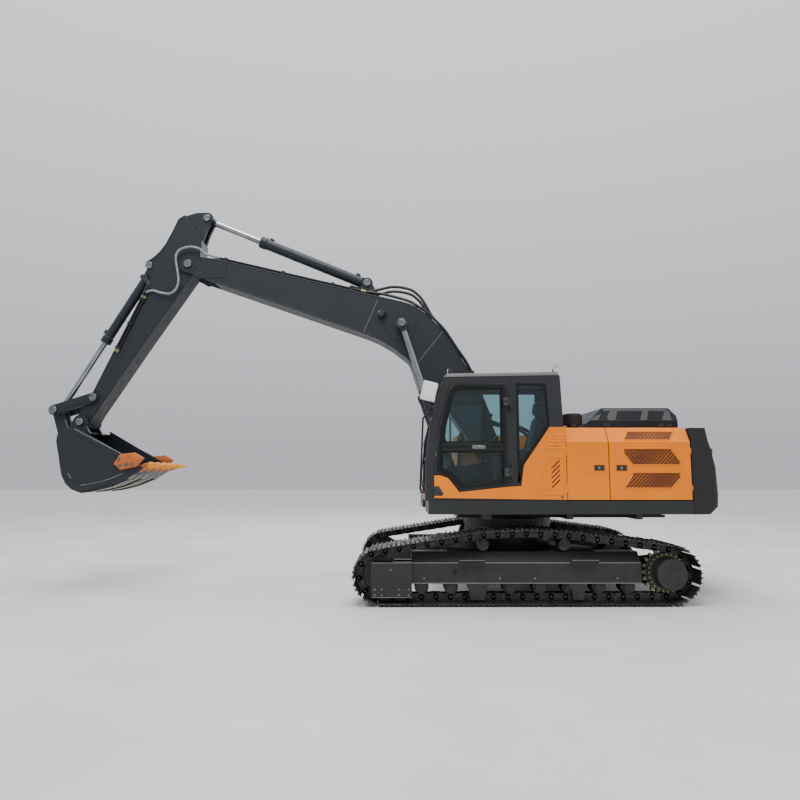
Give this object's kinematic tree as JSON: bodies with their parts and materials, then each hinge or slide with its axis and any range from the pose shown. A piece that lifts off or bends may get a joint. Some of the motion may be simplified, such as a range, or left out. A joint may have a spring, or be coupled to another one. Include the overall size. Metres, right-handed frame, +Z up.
{
  "type": "crawler excavator",
  "caption": "Tracked excavator with a slewing house, side cab, cranked boom, dipper arm and toothed bucket, all hydraulic; doors and hood open.",
  "frame": {"origin": "on the ground under the swing axis, midway between the tracks", "axes": "+X forward out of the cab's front, along the tracks and towards the bucket; +Y to the machine's left, the cab side; +Z up"},
  "size_m": [9.7402, 3.095, 5.7372],
  "materials": {
    "orange_paint": "semi-gloss",
    "slate_paint": "semi-gloss",
    "frame_paint": "satin",
    "weight_paint": "satin",
    "cab_paint": "satin",
    "black_steel": "satin",
    "track_steel": "worn",
    "tooth_steel": "worn paint",
    "chrome_rod": "polished",
    "black_rubber": "matt",
    "grey_hose": "matt",
    "black_plastic": "matt",
    "seat_fabric": "woven",
    "tinted_glass": "clear tint",
    "cast_metal": "cast"
  },
  "bodies": {
    "undercarriage": {"car_body": "frame_paint", "slew_ring": "frame_paint", "track_frame_left": "frame_paint", "track_frame_right": "frame_paint", "track_left": "track_steel", "track_right": "track_steel", "sprockets": "frame_paint", "idlers": "frame_paint", "rollers": "frame_paint"},
    "house": {"main_frame": "frame_paint", "counterweight": "weight_paint", "cab_frame": "cab_paint", "cab_roof": "cab_paint", "cab_glass": "tinted_glass", "cab_side_panel": "orange_paint", "seat": "seat_fabric", "controls": "black_plastic", "body_panels": "orange_paint", "engine": "cast_metal", "radiator": "black_steel", "engine_stacks": "black_plastic", "fuel_tank": "orange_paint", "hydraulic_tank": "orange_paint", "tool_box": "orange_paint", "handrails": "black_steel", "mirrors": "black_plastic", "work_lamps": "black_plastic", "boom_base_hoses": "black_rubber"},
    "cab_door": {"cab_door": "cab_paint", "cab_door_glass": "tinted_glass"},
    "front_side_door": {"front_side_door": "orange_paint"},
    "rear_side_door": {"rear_side_door": "orange_paint"},
    "pump_door": {"pump_door": "orange_paint"},
    "hood": {"hood": "slate_paint"},
    "boom": {"boom": "slate_paint", "boom_pipes": "black_steel", "boom_hoses": "black_rubber", "boom_lamp": "black_plastic", "arm_hoses": "grey_hose"},
    "boom_barrels": {"boom_cylinder_barrels": "slate_paint"},
    "boom_rods": {"boom_cylinder_rods": "chrome_rod"},
    "arm_barrel": {"arm_cylinder_barrel": "slate_paint"},
    "arm_rod": {"arm_cylinder_rod": "chrome_rod"},
    "arm": {"arm": "slate_paint", "arm_pipes": "black_steel"},
    "bucket_barrel": {"bucket_cylinder_barrel": "slate_paint"},
    "bucket_rod": {"bucket_cylinder_rod": "chrome_rod"},
    "rocker": {"rocker": "slate_paint"},
    "h_link": {"h_link": "slate_paint"},
    "bucket": {"bucket": "slate_paint", "bucket_teeth": "tooth_steel"}
  },
  "joints": [
    {"name": "swing", "type": "hinge", "parent": "undercarriage", "child": "house", "pos_m": [0, 0, 0.98], "axis": [0, 0, 1], "continuous": true},
    {"name": "boom_lift", "type": "hinge", "parent": "house", "child": "boom", "pos_m": [0.11, 0, 1.75], "axis": [0, -1, 0], "range_deg": [-79, 30], "deforming": ["boom_base_hoses"]},
    {"name": "boom_cylinder_turn", "type": "hinge", "parent": "house", "child": "boom_barrels", "pos_m": [0.72, 0, 1.3], "axis": [0, -1, 0], "range_deg": [-83.42, 31.8]},
    {"name": "boom_cylinder_stroke", "type": "slide", "parent": "boom_barrels", "child": "boom_rods", "axis": [0.3132, 0, 0.9497], "range_m": [-0.8896, 0.3391]},
    {"name": "arm_turn", "type": "hinge", "parent": "boom", "child": "arm", "pos_m": [4.86767, 0, 4.87283], "axis": [0, 1, 0], "range_deg": [-50, 58], "deforming": ["arm_hoses"]},
    {"name": "arm_cylinder_turn", "type": "hinge", "parent": "boom", "child": "arm_barrel", "pos_m": [2.11495, 0, 4.60907], "axis": [0, 1, 0], "range_deg": [-2.26, 2.59]},
    {"name": "arm_cylinder_stroke", "type": "slide", "parent": "arm_barrel", "child": "arm_rod", "axis": [0.9243, 0, 0.3817], "range_m": [-0.6286, 0.7289]},
    {"name": "bucket_turn", "type": "hinge", "parent": "arm", "child": "bucket", "pos_m": [6.36941, 0, 2.43178], "axis": [0, 1, 0], "range_deg": [-142, 22]},
    {"name": "bucket_cylinder_turn", "type": "hinge", "parent": "arm", "child": "bucket_barrel", "pos_m": [5.47922, 0, 4.86161], "axis": [0, 1, 0], "range_deg": [-3.36, 0.69]},
    {"name": "bucket_cylinder_stroke", "type": "slide", "parent": "bucket_barrel", "child": "bucket_rod", "axis": [0.5035, 0, -0.864], "range_m": [-0.9847, 0.1542]},
    {"name": "rocker_turn", "type": "hinge", "parent": "arm", "child": "rocker", "pos_m": [6.20614, 0, 2.80214], "axis": [0, 1, 0], "range_deg": [-106.6, 16.68]},
    {"name": "link_turn", "type": "hinge", "parent": "bucket", "child": "h_link", "pos_m": [6.59941, 0, 2.04578], "axis": [0, 1, 0], "range_deg": [-15.73, 100.47]},
    {"name": "cab_door_turn", "type": "hinge", "parent": "house", "child": "cab_door", "pos_m": [0.15, 1.425, 1.315], "axis": [0, 0, 1], "range_deg": [0, 160]},
    {"name": "front_side_door_turn", "type": "hinge", "parent": "house", "child": "front_side_door", "pos_m": [-0.561, 1.393, 1.5], "axis": [0, 0, 1], "range_deg": [-120, 0]},
    {"name": "rear_side_door_turn", "type": "hinge", "parent": "house", "child": "rear_side_door", "pos_m": [-2.187, 1.393, 1.5], "axis": [0, 0, 1], "range_deg": [0, 110]},
    {"name": "pump_door_turn", "type": "hinge", "parent": "house", "child": "pump_door", "pos_m": [-0.565, -1.393, 1.5], "axis": [0, 0, 1], "range_deg": [0, 110]},
    {"name": "hood_turn", "type": "hinge", "parent": "house", "child": "hood", "pos_m": [-2.2655, 0, 2.284], "axis": [0, -1, 0], "range_deg": [0, 60]}
  ],
  "couplings": [
    {"joint": "boom_cylinder_turn", "follows": "boom_lift", "ratio": 1.0327},
    {"joint": "boom_cylinder_stroke", "follows": "boom_lift", "m_per_rad": 0.63736},
    {"joint": "arm_cylinder_turn", "follows": "arm_turn", "ratio": 0.04041},
    {"joint": "arm_cylinder_stroke", "follows": "arm_turn", "m_per_rad": 0.71096},
    {"joint": "bucket_cylinder_turn", "follows": "bucket_turn", "ratio": 0.0218},
    {"joint": "bucket_cylinder_stroke", "follows": "bucket_turn", "m_per_rad": 0.39257},
    {"joint": "rocker_turn", "follows": "bucket_turn", "ratio": 0.73459},
    {"joint": "link_turn", "follows": "bucket_turn", "ratio": -0.69228}
  ]
}
